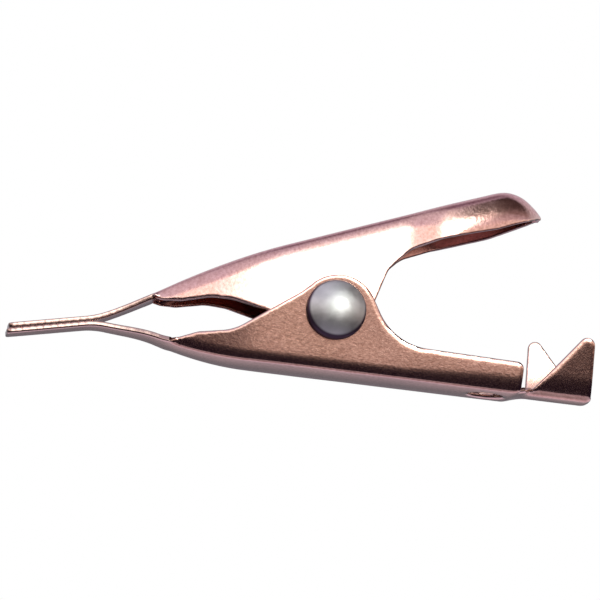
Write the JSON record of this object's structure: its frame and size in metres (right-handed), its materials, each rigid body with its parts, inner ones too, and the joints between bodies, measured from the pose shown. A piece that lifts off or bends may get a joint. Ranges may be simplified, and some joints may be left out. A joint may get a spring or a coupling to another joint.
{
  "type": "spring test clip",
  "caption": "Small long-nose spring clip of copper-plated sheet steel, with a riveted pivot, a torsion spring, a thumb grip, an open wire crimp and a terminal hole.",
  "frame": {"origin": "centre of the terminal hole on the underside of the lower lever's floor, which is also the face the clip rests on", "axes": "+X from the jaws towards the wire crimp, +Y along the rivet towards its rolled-over end, +Z from the lower lever's floor towards the thumb grip"},
  "size_m": [0.0601, 0.0121, 0.0209],
  "materials": {
    "lower_lever_copper": "bright copper plate on pressed sheet steel, with rolled grain",
    "upper_lever_copper": "bright copper plate on pressed sheet steel, with rolled grain",
    "rivet_steel": "tumbled nickel-plated steel, satin",
    "spring_steel": "drawn spring wire"
  },
  "bodies": {
    "lower_body": {"lower_lever": "lower_lever_copper", "pivot_rivet": "rivet_steel", "torsion_spring": "spring_steel"},
    "upper_body": {"upper_lever": "upper_lever_copper"}
  },
  "joints": [
    {"name": "jaw_pivot", "type": "hinge", "parent": "lower_body", "child": "upper_body", "pos_m": [-0.01685, 0, 0.0062], "axis": [0, 1, 0], "range_deg": [0, 24], "stiffness_Nm_per_rad": 0.1, "springref_deg": -57.3, "deforming": ["torsion_spring"]}
  ]
}
